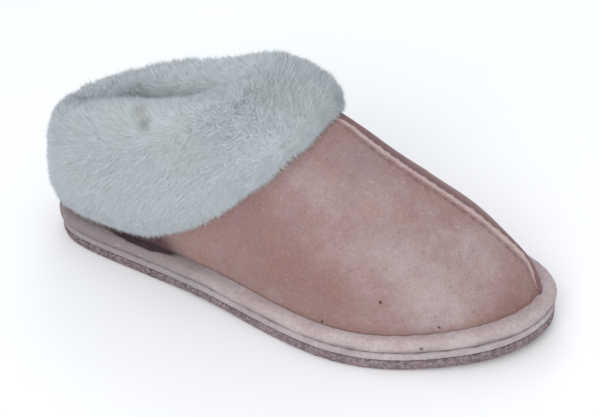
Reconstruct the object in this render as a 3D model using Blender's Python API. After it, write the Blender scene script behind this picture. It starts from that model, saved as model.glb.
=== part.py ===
"""Sheepskin slipper for the right foot.

The sole is three stacked layers (outsole, welt, rolled platform) that share one plan outline.
The upper is a hollow sheepskin shell made of ribs: each rib climbs from the feather line, where the
upper meets the platform, either to the collar's topline (quarters and heel) or to the raised seam
along the middle of the vamp.  A deep wool cuff rolls over the collar and hangs outside the quarters.

Frame: +X towards the toe, +Y towards the inner (medial) side, +Z up, floor at Z = 0, origin under the
middle of the object's box.  All tables and sizes are in millimetres.
"""

import math

import bmesh
import bpy
import numpy as np

MM = 0.001

# ------------------------------------------------------------------ driving sizes (mm)
SOLE_LENGTH = 258.0
OUTSOLE_Z = (0.0, 5.0)
WELT_Z = (5.3, 9.0)
PLATFORM_Z = (9.3, 15.6)
FIT_GAP = 0.3                # between stacked pieces
CUFF_GAP = 0.6               # between the wool cuff and the upper it is sewn to
WALL = 4.5                   # sheepskin: hide with sheared wool inside
INSOLE_T = 5.5
TOE_SPRING = 5.0
TOE_SPRING_FROM = 190.0
ARCH_RISE = 1.4
ARCH_SPAN = (72.0, 142.0)
SEAM_HEIGHT = 2.0            # the two halves of the vamp are sewn edge to edge and stand proud
SEAM_FROM = (160.0, 170.0)   # the seam rises out of the wool over this stretch
SEAM_TO = (244.0, 250.0)     # and sinks towards the sole over this one
THROAT_SHARE = 0.50          # rib (share of the way from heel to toe) that reaches the throat
CUFF_SHARE = 0.605           # last rib that the cuff covers at the seam
CUFF_INSIDE = 14.0           # how far the wool turns down inside the collar

STATIONS = 38                # plan stations along the sole

# Ribs on each side of the upper; up to the throat the cuff has a section at every rib.
# crowd: 1 = evenly spaced, larger = closer together towards the end of the span
#          from,   to, ribs, crowd
RIB_SPANS = (
    (0.00, 0.12,  7,  1.0),     # round the heel
    (0.12, 0.40,  9,  1.0),     # quarter
    (0.40, 0.50,  9,  1.7),     # up to the throat
    (0.50, 0.62,  5,  1.0),     # vamp under the cuff
    (0.62, 1.00, 14,  1.4),     # vamp and toe
)

# Plan of the sole's edge, from the heel round the outer side to the tip and back by the inner side.
#          x from heel, y
OUTLINE = (
    (0.0, 0.0),       # back of heel
    (10.0, -22.4),
    (34.0, -32.0),    # heel, outer
    (105.0, -41.0),   # waist, outer
    (180.0, -53.0),   # ball, outer
    (225.0, -38.4),
    (250.0, -18.5),
    (SOLE_LENGTH, 4.5),   # tip
    (250.0, 22.0),
    (228.0, 37.5),
    (186.0, 47.0),    # ball, inner
    (105.0, 32.5),    # waist, inner
    (34.0, 32.0),     # heel, inner
    (10.0, 22.4),
)
TIP_ROW = 7

# Feather line: how far inside the sole's edge the upper stands, by share of the way from heel to toe.
#          share, inset
FEATHER_INSET = (
    (0.00,  6.5),
    (0.45,  6.3),
    (0.66,  5.2),
    (0.82,  6.6),
    (0.93,  7.9),
    (1.00,  8.0),
)

# Line that the ribs climb to, by share of the way from heel to toe.  Ahead of the throat it is the vamp's
# seam; behind it, it is where the form of the foot would close over the collar's opening.
#          share,     x,     y,     z
SPINE = (
    (0.000,  24.0,   0.0,  86.0),
    (0.120,  40.0,  -1.0,  92.0),
    (0.250,  66.0,  -2.0,  99.0),
    (0.380,  98.0,  -2.0, 102.0),
    (0.450, 116.0,  -1.0, 100.5),
    (0.500, 130.0,   0.0,  97.0),
    (0.550, 144.0,   0.0,  93.2),
    (0.605, 160.0,   0.0,  88.2),
    (0.675, 179.2,   1.5,  75.6),
    (0.745, 198.9,   2.5,  65.0),
    (0.815, 219.1,   2.8,  55.2),
    (0.875, 232.3,   2.9,  47.0),
    (0.930, 242.5,   3.0,  39.2),
    (0.970, 248.0,   3.0,  31.8),
    (1.000, 250.2,   3.0,  23.2),
)

# How a rib climbs, by its share of the way from heel to toe: powers of the arc it follows.
# inward: small = upright wall, 1 = ellipse, 2 = straight slope; rise: 1 = ellipse, larger = later rise
#          share, inward, rise
RIB_SHAPE = (
    (0.00,  1.80,  1.00),
    (0.06,  1.45,  1.00),
    (0.12,  0.90,  1.00),
    (0.18,  0.44,  1.00),
    (0.25,  0.24,  1.00),
    (0.38,  0.50,  1.00),
    (0.45,  0.86,  1.00),
    (0.52,  1.10,  1.00),
    (0.62,  1.34,  1.00),
    (0.74,  1.46,  1.03),
    (0.86,  1.58,  1.10),
    (1.00,  1.70,  1.25),
)

# Collar's edge: how far up each rib it lies, by the rib's share of the way from heel to throat.
#          share, level
COLLAR = (
    (0.00,  0.333),
    (0.12,  0.328),
    (0.24,  0.328),
    (0.38,  0.362),
    (0.50,  0.411),
    (0.66,  0.488),
    (0.76,  0.562),
    (0.84,  0.636),
    (0.90,  0.706),
    (0.95,  0.792),
    (0.98,  0.882),
    (1.00,  1.000),
)

# Lower edge of the wool cuff, by share of the way from heel to seam: level on the rib there.
#          share, level
CUFF_EDGE = (
    (0.00,  0.045),
    (0.34,  0.045),
    (0.45,  0.055),
    (0.56,  0.105),
    (0.64,  0.160),
    (0.73,  0.245),
    (0.82,  0.340),
    (0.896, 0.460),
    (0.950, 0.600),
    (0.984, 0.760),
    (1.00,  1.000),
)

# Depth of the wool, by share of the way from heel to throat.
#          share, outside, inside, crown
WOOL = (
    (0.00,   9.0,    7.5,  14.5),
    (0.20,   9.5,    7.5,  16.5),
    (0.40,  10.0,    7.5,  17.5),
    (0.60,  10.5,    7.5,  16.0),
    (0.74,  10.5,    7.5,  13.0),
    (0.86,  12.0,    7.0,  11.5),
    (1.00,  14.0,    6.5,  12.0),
)

# Wool's outside depth down the cuff, as a share of the depth at the collar.
#          down, depth
WOOL_FALL = (
    (0.00, 1.00),
    (0.30, 1.06),
    (0.60, 1.02),
    (0.85, 0.86),
    (1.00, 0.55),
)

# Side profiles of the sole's layers: how far inside the outline, and height.
#                inset,   z
OUTSOLE_EDGE = ((1.6, 0.0), (0.5, 0.9), (0.3, 4.3), (0.9, 5.0))
WELT_EDGE = ((1.1, 5.3), (0.3, 6.0), (0.3, 8.2), (1.2, 9.0))
PLATFORM_EDGE = ((1.3, 9.3), (0.2, 10.2), (-0.4, 11.8), (0.1, 13.6), (1.4, 15.0), (3.2, 15.6))
INSOLE_INSET = 14.0

COLOURS = {
    #               red,   green, blue,  roughness
    "outsole": (0.200, 0.150, 0.160, 0.85),
    "welt": (0.560, 0.470, 0.480, 0.80),
    "platform": (0.580, 0.470, 0.475, 0.85),
    "insole": (0.700, 0.700, 0.680, 1.00),
    "upper": (0.400, 0.275, 0.260, 0.95),
    "wool_cuff": (0.700, 0.730, 0.740, 1.00),
}


# ------------------------------------------------------------------ curves
def closed_spline(points, per_span):
    """Smooth closed curve through the points; sample k * per_span lies on point k."""
    p = np.array(points, float)
    n = len(p)
    h = np.sqrt(np.linalg.norm(np.roll(p, -1, 0) - p, axis=1))
    slope = (np.roll(p, -1, 0) - p) / h[:, None]
    system = np.zeros((n, n))
    for i in range(n):
        before = (i - 1) % n
        system[i, before] += h[before]
        system[i, i] += 2 * (h[before] + h[i])
        system[i, (i + 1) % n] += h[i]
    bend = np.linalg.solve(system, 6 * (slope - np.roll(slope, 1, 0)))
    out = []
    for i in range(n):
        j = (i + 1) % n
        for t in np.arange(per_span) / per_span * h[i]:
            r = h[i] - t
            out.append(
                bend[i] * r**3 / (6 * h[i])
                + bend[j] * t**3 / (6 * h[i])
                + (p[i] / h[i] - bend[i] * h[i] / 6) * r
                + (p[j] / h[i] - bend[j] * h[i] / 6) * t
            )
    return np.array(out)


def column(table, share, k):
    """Smooth value of a table's column k at a share that its first column holds."""
    x = [row[0] for row in table]
    y = [row[k] for row in table]
    share = min(max(share, x[0]), x[-1])
    i = max(0, min(len(x) - 2, next((j for j in range(len(x) - 1) if share <= x[j + 1]), len(x) - 2)))

    def slope(j):
        if j in (0, len(x) - 1):
            j = min(max(j, 0), len(x) - 2) if j == 0 else len(x) - 2
            return (y[j + 1] - y[j]) / (x[j + 1] - x[j])
        left = (y[j] - y[j - 1]) / (x[j] - x[j - 1])
        right = (y[j + 1] - y[j]) / (x[j + 1] - x[j])
        return (left * (x[j + 1] - x[j]) + right * (x[j] - x[j - 1])) / (x[j + 1] - x[j - 1])

    w = x[i + 1] - x[i]
    t = (share - x[i]) / w
    return (
        y[i] * (1 + 2 * t) * (1 - t) ** 2
        + slope(i) * w * t * (1 - t) ** 2
        + y[i + 1] * t * t * (3 - 2 * t)
        - slope(i + 1) * w * t * t * (1 - t)
    )


def smooth_step(low, high, x):
    t = min(max((x - low) / (high - low), 0.0), 1.0)
    return t * t * (3 - 2 * t)


def toe_lift(x):
    """Toe spring: how far the whole sole rises towards the tip."""
    toe = max(0.0, (x - TOE_SPRING_FROM) / (SOLE_LENGTH - TOE_SPRING_FROM))
    return TOE_SPRING * toe * toe


def arch_lift(x):
    """How far the outsole's underside leaves the floor under the waist."""
    a, b = ARCH_SPAN
    return ARCH_RISE * math.sin(math.pi * (x - a) / (b - a)) ** 2 if a < x < b else 0.0


PER_SPAN = 24
EDGE = closed_spline(OUTLINE, PER_SPAN)
TIP = TIP_ROW * PER_SPAN


def inset_edge(distance):
    """The sole's plan outline moved inwards by one distance or one for each sample, which keep their order."""
    along = np.roll(EDGE, -1, 0) - np.roll(EDGE, 1, 0)
    along /= np.linalg.norm(along, axis=1)[:, None]
    inward = np.stack([-along[:, 1], along[:, 0]], 1)
    return EDGE + inward * np.reshape(distance, (-1, 1))


# ------------------------------------------------------------------ sole layers
def plan_loop(distance):
    """Plan points at paired stations: heel, outer side to the tip, then back along the inner side."""
    edge = inset_edge(distance)
    outer = edge[: TIP + 1]
    inner = np.concatenate([edge[:1], edge[:TIP - 1:-1]])
    x0, x1 = edge[:, 0].min(), edge[:, 0].max()
    xs = [x0 + (x1 - x0) * 0.5 * (1 - math.cos(math.pi * i / STATIONS)) for i in range(STATIONS + 1)]

    def side(path):
        order = np.argsort(path[:, 0])
        return [float(np.interp(x, path[order, 0], path[order, 1])) for x in xs]

    y_out, y_in = side(outer), side(inner)
    mid0, mid1 = 0.5 * (y_out[0] + y_in[0]), 0.5 * (y_out[-1] + y_in[-1])
    y_out[0] = y_in[0] = mid0
    y_out[-1] = y_in[-1] = mid1
    return xs, y_out, y_in


def layer(name, profile, arched_rows=0):
    """A sole layer lofted through its side profile, capped by straight slats across the foot."""
    bm = bmesh.new()
    rows = []
    for k, (inset, z) in enumerate(profile):
        xs, y_out, y_in = plan_loop(inset)

        def place(x, y):
            return bm.verts.new((x, y, z + toe_lift(x) + (arch_lift(x) if k < arched_rows else 0.0)))

        heel, tip = place(xs[0], y_out[0]), place(xs[-1], y_out[-1])
        out = [place(x, y) for x, y in zip(xs[1:-1], y_out[1:-1])]
        inn = [place(x, y) for x, y in zip(xs[1:-1], y_in[1:-1])]
        rows.append((heel, out, tip, inn))
    for low, high in zip(rows, rows[1:]):
        a = [low[0], *low[1], low[2], *reversed(low[3])]
        b = [high[0], *high[1], high[2], *reversed(high[3])]
        for i in range(len(a)):
            j = (i + 1) % len(a)
            bm.faces.new((a[i], a[j], b[j], b[i]))
    for (heel, out, tip, inn), up in ((rows[0], False), (rows[-1], True)):
        faces = [(heel, out[0], inn[0])]
        faces += [(out[i], out[i + 1], inn[i + 1], inn[i]) for i in range(len(out) - 1)]
        faces.append((out[-1], tip, inn[-1]))
        for f in faces:
            bm.faces.new(f if up else tuple(reversed(f)))
    return finish(name, bm)


# ------------------------------------------------------------------ upper
FEATHER_Z = PLATFORM_Z[1] + FIT_GAP


def one_side(edge, side):
    """The part of a closed edge from heel to tip along one side, and each point's share of that way."""
    path = edge[: TIP + 1] if side < 0 else np.concatenate([edge[:1], edge[:TIP - 1:-1]])
    run = np.concatenate([[0.0], np.cumsum(np.linalg.norm(np.diff(path, axis=0), axis=1))])
    return path, run / run[-1]


def feather_edge():
    share = np.concatenate([one_side(EDGE, -1)[1], one_side(EDGE, 1)[1][-2:0:-1]])
    return inset_edge([column(FEATHER_INSET, t, 1) for t in share])


FEATHER = {side: one_side(feather_edge(), side) for side in (-1, 1)}


def rib_foot(side, share):
    path, run = FEATHER[side]
    x = float(np.interp(share, run, path[:, 0]))
    y = float(np.interp(share, run, path[:, 1]))
    return np.array([x, y, FEATHER_Z + toe_lift(x)])


def rib_head(share):
    return np.array([column(SPINE, share, k) for k in (1, 2, 3)])


def skin(side, share, level):
    """Point on the outside of the foot's form: share runs heel to toe, level from feather line to spine."""
    share = min(max(share, 0.0), 1.0)
    foot, head = rib_foot(side, share), rib_head(share)
    phi = min(max(level, 0.0), 1.0) * math.pi / 2
    go = 1 - max(math.cos(phi), 0.0) ** column(RIB_SHAPE, share, 1)
    up = math.sin(phi) ** column(RIB_SHAPE, share, 2)
    return np.array([foot[0] + (head[0] - foot[0]) * go, foot[1] + (head[1] - foot[1]) * go, foot[2] + (head[2] - foot[2]) * up])


def collar_level(share):
    """Level at which the collar cuts a rib; ahead of the throat the ribs run up to the seam."""
    return column(COLLAR, share / THROAT_SHARE, 1) if share < THROAT_SHARE else 1.0


def skin_normal(side, share, level):
    """Outward normal of the skin; on the seam's line it lies in the middle plane."""
    d = 0.004
    s0, s1 = max(share - d, 0.0), min(share + d, 1.0)
    l0, l1 = max(level - d, 0.0), min(level + d, 1.0)
    n = np.cross(skin(side, s1, level) - skin(side, s0, level), skin(side, share, l1) - skin(side, share, l0)) * -side
    if share < 1e-6:
        n[1] = 0.0
    if level > 1 - 1e-6 and share >= THROAT_SHARE - 1e-6:
        n[1] = 0.0
    return n / np.linalg.norm(n)


def seam_rise(x):
    """How far the vamp's seam stands proud: it rises out of the wool and sinks again at the toe."""
    return SEAM_HEIGHT * smooth_step(SEAM_FROM[0], SEAM_FROM[1], x) * (1 - 0.6 * smooth_step(SEAM_TO[0], SEAM_TO[1], x))


def rib_shares():
    """Every rib's share of the way from heel to toe, and which of them reaches the throat."""
    shares = [0.0]
    for start, end, ribs, crowd in RIB_SPANS:
        shares += [start + (end - start) * (1 - (1 - k / ribs) ** crowd) for k in range(1, ribs + 1)]
    return shares, min(range(len(shares)), key=lambda i: abs(shares[i] - THROAT_SHARE))


def build_upper():
    shares, throat = rib_shares()
    last = len(shares) - 1
    fixed = (0.0, 0.08, 0.18, 0.30, 0.43, 0.56, 0.69, 0.82)
    near_seam = (5.0, 2.3, 1.1)      # distances from the top of the rib, mm
    count = len(fixed) + len(near_seam) + 1

    def levels(side, share):
        top = collar_level(share)
        rib = [skin(side, share, top * t / 12) for t in range(13)]
        long = sum(np.linalg.norm(b - a) for a, b in zip(rib, rib[1:]))
        tail = [1 - min(d / long, 0.14 * d / near_seam[0]) for d in near_seam]
        return [top * t for t in (*fixed, *tail, 1.0)]

    bm = bmesh.new()
    outer, inner = {}, {}
    for side in (-1, 1):
        for i, share in enumerate(shares):
            for j, level in enumerate(levels(side, share)):
                shared = i in (0, last) or (j == count - 1 and i >= throat)
                if side == 1 and shared:
                    outer[side, i, j], inner[side, i, j] = outer[-1, i, j], inner[-1, i, j]
                    continue
                point, normal = skin(side, share, level), skin_normal(side, share, level)
                if i == last:
                    normal = np.array([0.94, 0.0, 0.34])
                inside = normal.copy()
                if j == 0:
                    inside[2] = 0.0
                    inside /= np.linalg.norm(inside)
                proud = 0.0
                if share > THROAT_SHARE and j >= count - 2:
                    proud = seam_rise(point[0]) * (1.0 if j == count - 1 else 0.9)
                outer[side, i, j] = bm.verts.new(point + normal * proud)
                inner[side, i, j] = bm.verts.new(point - inside * WALL)
    for side in (-1, 1):
        for i in range(last):
            for j in range(count - 1):
                for grid, turn in ((outer, side < 0), (inner, side > 0)):
                    f = [grid[side, i, j], grid[side, i + 1, j], grid[side, i + 1, j + 1], grid[side, i, j + 1]]
                    f = f if turn else f[::-1]
                    f = [v for k, v in enumerate(f) if v not in f[:k]]
                    if len(f) > 2:
                        bm.faces.new(f)
            f = [outer[side, i, 0], inner[side, i, 0], inner[side, i + 1, 0], outer[side, i + 1, 0]]
            bm.faces.new(f if side < 0 else f[::-1])
            if i < throat:
                k = count - 1
                f = [outer[side, i, k], outer[side, i + 1, k], inner[side, i + 1, k], inner[side, i, k]]
                bm.faces.new(f if side < 0 else f[::-1])
    return finish("upper", bm)


# ------------------------------------------------------------------ wool cuff
def collar_run(side, r):
    """Direction of the collar's edge, from heel to throat; it crosses the middle plane squarely."""
    if r < 1e-6 or r > 1 - 1e-6:
        return np.array([0.0, side * (1.0 if r < 0.5 else -1.0), 0.0])
    d = min(0.004, r, 1 - r)
    a, b = ((r - d) * THROAT_SHARE, (r + d) * THROAT_SHARE)
    return skin(side, b, collar_level(b)) - skin(side, a, collar_level(a))


def cuff_section(side, r):
    """Closed section of the cuff where it leaves the collar at share r of the way from heel to throat."""
    a0, a1 = r * THROAT_SHARE, r * CUFF_SHARE
    top, low = column(COLLAR, r, 1), column(CUFF_EDGE, r, 1)
    deep_out, deep_in, crown = (column(WOOL, r, k) for k in (1, 2, 3))

    def at(v):
        share, level = a0 + v * (a1 - a0), top + v * (low - top)
        return skin(side, share, level), skin_normal(side, share, level)

    rim, rim_normal = at(0.0)
    over = np.cross(collar_run(side, r), rim_normal) * side
    over /= np.linalg.norm(over)
    path = [at(k / 10)[0] for k in range(11)]
    long = sum(np.linalg.norm(b - a) for a, b in zip(path, path[1:]))
    v_in = min(CUFF_INSIDE / long, 0.6)

    section = []
    for v in (1.0, 0.88, 0.76, 0.64, 0.52, 0.40, 0.27, 0.13, 0.0):  # against the outside of the upper
        p, n = at(v)
        section.append(p + n * CUFF_GAP)
    section.append(rim + rim_normal * CUFF_GAP + over * CUFF_GAP)   # over the collar's edge
    section.append(rim - rim_normal * (WALL + CUFF_GAP) + over * CUFF_GAP)
    for v in (0.33 * v_in, 0.66 * v_in, v_in):                      # down against its inside
        p, n = at(v)
        section.append(p - n * (WALL + CUFF_GAP))
    for v, depth in ((v_in * 1.06, 0.45), (v_in, 0.72), (0.66 * v_in, 0.92), (0.33 * v_in, 1.0)):
        p, n = at(v)
        section.append(p - n * (WALL + CUFF_GAP + deep_in * depth))
    half = 0.5 * (deep_out + WALL + deep_in)
    centre = rim + rim_normal * (0.5 * (deep_out - WALL - deep_in))
    for k in range(9):                                              # the crown
        psi = math.pi * (1 - k / 8)
        section.append(centre + rim_normal * (half * math.cos(psi)) + over * (crown * math.sin(psi)))
    for v in (0.15, 0.3, 0.45, 0.6, 0.75, 0.88, 0.97):              # the wool's outside
        p, n = at(v)
        section.append(p + n * deep_out * column(WOOL_FALL, v, 1))
    p, n = at(1.0)
    q, _ = at(0.95)
    down = (p - q) / np.linalg.norm(p - q)
    section.append(p + n * deep_out * 0.45 + down * 2.0)
    section.append(p + n * deep_out * 0.20 + down * 1.6)
    return section


def build_cuff():
    bm = bmesh.new()
    ribs, throat = rib_shares()
    shares = [share / THROAT_SHARE for share in ribs[:throat]] + [1.0]
    ring = [cuff_section(-1, r) for r in shares] + [cuff_section(1, r) for r in reversed(shares[1:-1])]
    rows = [[bm.verts.new(p) for p in section] for section in ring]
    for a, b in zip(rows, rows[1:] + rows[:1]):
        for k in range(len(a)):
            m = (k + 1) % len(a)
            bm.faces.new((a[k], a[m], b[m], b[k]))
    bmesh.ops.recalc_face_normals(bm, faces=bm.faces[:])
    return finish("wool_cuff", bm)


# ------------------------------------------------------------------ objects
def finish(name, bm):
    """Turns the millimetre mesh into a named object in metres with its own material."""
    bmesh.ops.scale(bm, vec=(MM, MM, MM), verts=bm.verts[:])
    bm.normal_update()
    mesh = bpy.data.meshes.new(name)
    bm.to_mesh(mesh)
    bm.free()
    mesh.shade_smooth()
    mesh.set_sharp_from_angle(angle=math.radians(50))
    red, green, blue, rough = COLOURS[name]
    material = bpy.data.materials.new(name)
    material.use_nodes = True
    shader = material.node_tree.nodes["Principled BSDF"]
    shader.inputs["Base Color"].default_value = (red, green, blue, 1.0)
    shader.inputs["Roughness"].default_value = rough
    shader.inputs["Metallic"].default_value = 0.0
    mesh.materials.append(material)
    obj = bpy.data.objects.new(name, mesh)
    bpy.context.scene.collection.objects.link(obj)
    return obj


def centre_on_floor(objects):
    """Puts the origin under the middle of the whole object's box, on the floor."""
    points = np.array([v.co for o in objects for v in o.data.vertices])
    low, high = points.min(0), points.max(0)
    shift = (-(low[0] + high[0]) / 2, -(low[1] + high[1]) / 2, 0.0)
    for o in objects:
        for v in o.data.vertices:
            v.co = (v.co[0] + shift[0], v.co[1] + shift[1], v.co[2] + shift[2])
        o.data.update()


def main():
    for o in list(bpy.data.objects):
        bpy.data.objects.remove(o)
    insole_z = FEATHER_Z
    insole_edge = (
        (INSOLE_INSET, insole_z),
        (INSOLE_INSET, insole_z + INSOLE_T * 0.55),
        (INSOLE_INSET + 1.6, insole_z + INSOLE_T),
    )
    objects = [
        layer("outsole", OUTSOLE_EDGE, arched_rows=2),
        layer("welt", WELT_EDGE),
        layer("platform", PLATFORM_EDGE),
        layer("insole", insole_edge),
        build_upper(),
        build_cuff(),
    ]
    centre_on_floor(objects)


main()
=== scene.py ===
import math

import bpy
import numpy as np
from mathutils import Matrix, Vector


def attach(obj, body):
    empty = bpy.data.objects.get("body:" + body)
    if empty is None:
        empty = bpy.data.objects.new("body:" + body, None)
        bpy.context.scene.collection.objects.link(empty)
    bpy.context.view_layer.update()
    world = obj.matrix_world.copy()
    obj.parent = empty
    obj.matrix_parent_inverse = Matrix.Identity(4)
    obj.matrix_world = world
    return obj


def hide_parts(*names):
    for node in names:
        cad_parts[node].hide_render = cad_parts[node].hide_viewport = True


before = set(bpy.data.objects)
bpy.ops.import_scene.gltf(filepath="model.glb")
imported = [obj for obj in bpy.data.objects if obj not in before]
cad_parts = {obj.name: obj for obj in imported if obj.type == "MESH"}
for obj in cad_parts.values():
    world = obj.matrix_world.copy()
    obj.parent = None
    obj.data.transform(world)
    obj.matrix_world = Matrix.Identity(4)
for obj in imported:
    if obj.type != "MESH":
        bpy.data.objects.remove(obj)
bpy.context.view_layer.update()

# Looks of the sheepskin slipper.  The forms repeat the part's own tables (millimetres, heel at X = 0) at a
# much finer pitch; place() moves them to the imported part's origin, in metres.
MM = 0.001
ORIGIN = np.array([128.392, -2.964, 0.0])
RNG = np.random.default_rng(20)

FIT_GAP, CUFF_GAP, WALL, INSOLE_T, INSOLE_INSET = 0.3, 0.6, 4.5, 5.5, 14.0
SOLE_LENGTH, TOE_SPRING, TOE_FROM = 258.0, 5.0, 190.0
ARCH_RISE, ARCH_SPAN = 1.4, (72.0, 142.0)
FEATHER_Z = 15.9
THROAT, CUFF_END, CUFF_INSIDE = 0.50, 0.605, 14.0

OUTLINE = ((0, 0), (10, -22.4), (34, -32), (105, -41), (180, -53), (225, -38.4), (250, -18.5), (258, 4.5),
           (250, 22), (228, 37.5), (186, 47), (105, 32.5), (34, 32), (10, 22.4))
TIP_ROW, PER_SPAN = 7, 40
FEATHER_INSET = ((0, 6.5), (.45, 6.3), (.66, 5.2), (.82, 6.6), (.93, 7.9), (1, 8.0))
SPINE = ((0, 24, 0, 86), (.12, 40, -1, 92), (.25, 66, -2, 99), (.38, 98, -2, 102), (.45, 116, -1, 100.5),
         (.5, 130, 0, 97), (.55, 144, 0, 93.2), (.605, 160, 0, 88.2), (.675, 179.2, 1.5, 75.6),
         (.745, 198.9, 2.5, 65), (.815, 219.1, 2.8, 55.2), (.875, 232.3, 2.9, 47), (.93, 242.5, 3, 39.2),
         (.97, 248, 3, 31.8), (1, 250.2, 3, 23.2))
RIB_SHAPE = ((0, 1.80, 1), (.06, 1.45, 1), (.12, .90, 1), (.18, .44, 1), (.25, .24, 1), (.38, .50, 1),
             (.45, .86, 1), (.52, 1.10, 1), (.62, 1.34, 1), (.74, 1.46, 1.03), (.86, 1.58, 1.10), (1, 1.70, 1.25))
COLLAR = ((0, .333), (.12, .328), (.24, .328), (.38, .362), (.50, .411), (.66, .488), (.76, .562), (.84, .636),
          (.90, .706), (.95, .792), (.98, .882), (1, 1))
CUFF_EDGE = ((0, .045), (.34, .045), (.45, .055), (.56, .105), (.64, .16), (.73, .245), (.82, .34), (.896, .46),
             (.95, .60), (.984, .76), (1, 1))
WOOL = ((0, 9, 7.5, 14.5), (.2, 9.5, 7.5, 16.5), (.4, 10, 7.5, 17.5), (.6, 10.5, 7.5, 16), (.74, 10.5, 7.5, 13),
        (.86, 12, 7, 11.5), (1, 14, 6.5, 12))
WOOL_FALL = ((0, 1), (.3, 1.06), (.6, 1.02), (.85, .86), (1, .55))


# ------------------------------------------------------------------ curves of the part, for arrays
def closed_spline(points, per_span):
    p = np.array(points, float)
    n = len(p)
    h = np.sqrt(np.linalg.norm(np.roll(p, -1, 0) - p, axis=1))
    slope = (np.roll(p, -1, 0) - p) / h[:, None]
    system = np.zeros((n, n))
    for i in range(n):
        before = (i - 1) % n
        system[i, before] += h[before]
        system[i, i] += 2 * (h[before] + h[i])
        system[i, (i + 1) % n] += h[i]
    bend = np.linalg.solve(system, 6 * (slope - np.roll(slope, 1, 0)))
    out = []
    for i in range(n):
        j = (i + 1) % n
        for t in np.arange(per_span) / per_span * h[i]:
            r = h[i] - t
            out.append(bend[i] * r**3 / (6 * h[i]) + bend[j] * t**3 / (6 * h[i])
                       + (p[i] / h[i] - bend[i] * h[i] / 6) * r + (p[j] / h[i] - bend[j] * h[i] / 6) * t)
    return np.array(out)


def column(table, share, k):
    t = np.array(table, float)
    x, y = t[:, 0], t[:, k]
    w = np.diff(x)
    d = np.diff(y) / w
    m = np.empty_like(y)
    m[0], m[-1] = d[0], d[-1]
    m[1:-1] = (d[:-1] * w[1:] + d[1:] * w[:-1]) / (w[1:] + w[:-1])
    s = np.clip(share, x[0], x[-1])
    i = np.clip(np.searchsorted(x, s, side="left") - 1, 0, len(x) - 2)
    u = (s - x[i]) / w[i]
    return (y[i] * (1 + 2 * u) * (1 - u) ** 2 + m[i] * w[i] * u * (1 - u) ** 2
            + y[i + 1] * u * u * (3 - 2 * u) - m[i + 1] * w[i] * u * u * (1 - u))


def step(low, high, x):
    t = np.clip((np.asarray(x, float) - low) / (high - low), 0, 1)
    return t * t * (3 - 2 * t)


def unit(v):
    return v / np.maximum(np.linalg.norm(v, axis=-1, keepdims=True), 1e-12)


def toe_lift(x):
    return TOE_SPRING * np.maximum(0.0, (np.asarray(x, float) - TOE_FROM) / (SOLE_LENGTH - TOE_FROM)) ** 2


def arch_lift(x):
    a, b = ARCH_SPAN
    return np.where((x > a) & (x < b), ARCH_RISE * np.sin(np.pi * (x - a) / (b - a)) ** 2, 0.0)


EDGE = closed_spline(OUTLINE, PER_SPAN)
TIP = TIP_ROW * PER_SPAN


def inset_edge(distance):
    along = np.roll(EDGE, -1, 0) - np.roll(EDGE, 1, 0)
    along /= np.linalg.norm(along, axis=1)[:, None]
    inward = np.stack([-along[:, 1], along[:, 0]], 1)
    return EDGE + inward * np.reshape(distance, (-1, 1))


def one_side(edge, side):
    path = edge[: TIP + 1] if side < 0 else np.concatenate([edge[:1], edge[:TIP - 1:-1]])
    run = np.concatenate([[0.0], np.cumsum(np.linalg.norm(np.diff(path, axis=0), axis=1))])
    return path, run / run[-1]


_share = np.concatenate([one_side(EDGE, -1)[1], one_side(EDGE, 1)[1][-2:0:-1]])
_feather = inset_edge(column(FEATHER_INSET, _share, 1))
FEATHER = {side: one_side(_feather, side) for side in (-1, 1)}


def skin(side, share, level):
    share, level = np.broadcast_arrays(np.clip(share, 0, 1), np.clip(level, 0, 1))
    path, run = FEATHER[side]
    fx, fy = np.interp(share, run, path[:, 0]), np.interp(share, run, path[:, 1])
    fz = FEATHER_Z + toe_lift(fx)
    hx, hy, hz = (column(SPINE, share, k) for k in (1, 2, 3))
    phi = level * np.pi / 2
    go = 1 - np.clip(np.cos(phi), 0, 1) ** column(RIB_SHAPE, share, 1)
    up = np.sin(phi) ** column(RIB_SHAPE, share, 2)
    return np.stack([fx + (hx - fx) * go, fy + (hy - fy) * go, fz + (hz - fz) * up], -1)


def skin_normal(side, share, level):
    share, level = np.broadcast_arrays(np.asarray(share, float), np.asarray(level, float))
    d = 0.004
    s0, s1 = np.maximum(share - d, 0), np.minimum(share + d, 1)
    l0, l1 = np.maximum(level - d, 0), np.minimum(level + d, 1)
    n = np.cross(skin(side, s1, level) - skin(side, s0, level), skin(side, share, l1) - skin(side, share, l0)) * -side
    middle = (share < 1e-6) | ((level > 1 - 1e-6) & (share >= THROAT - 1e-6))
    n[..., 1] = np.where(middle, 0.0, n[..., 1])
    n = unit(n)
    toe = step(0.985, 1.0, share)[..., None]
    return unit(n * (1 - toe) + np.array([0.94, 0.0, 0.34]) * toe)


def collar_level(share):
    return np.where(share < THROAT, column(COLLAR, share / THROAT, 1), 1.0)


# ------------------------------------------------------------------ soft noise made in code, for forms only
def waves(p, size, seed, count=9):
    """Smooth random field of about -1 to 1, with bumps of about this size in mm."""
    rng = np.random.default_rng(seed)
    way = rng.normal(size=(count, 3))
    way /= np.linalg.norm(way, axis=1)[:, None]
    k = 2 * np.pi / (size * rng.uniform(0.75, 1.5, count))
    ph = rng.uniform(0, 2 * np.pi, count)
    return np.sin(p @ (way * k[:, None]).T + ph).sum(-1) / math.sqrt(count)


def wobble(s, pitch, seed, count=6):
    """Smooth random line of about -1 to 1 along a length s."""
    rng = np.random.default_rng(seed)
    k = 2 * np.pi / (pitch * rng.uniform(0.6, 1.8, count))
    ph = rng.uniform(0, 2 * np.pi, count)
    return np.sin(np.asarray(s)[..., None] * k + ph).sum(-1) / math.sqrt(count)


# ------------------------------------------------------------------ meshes
def place(points):
    return (np.asarray(points, float).reshape(-1, 3) - ORIGIN) * MM


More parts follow.
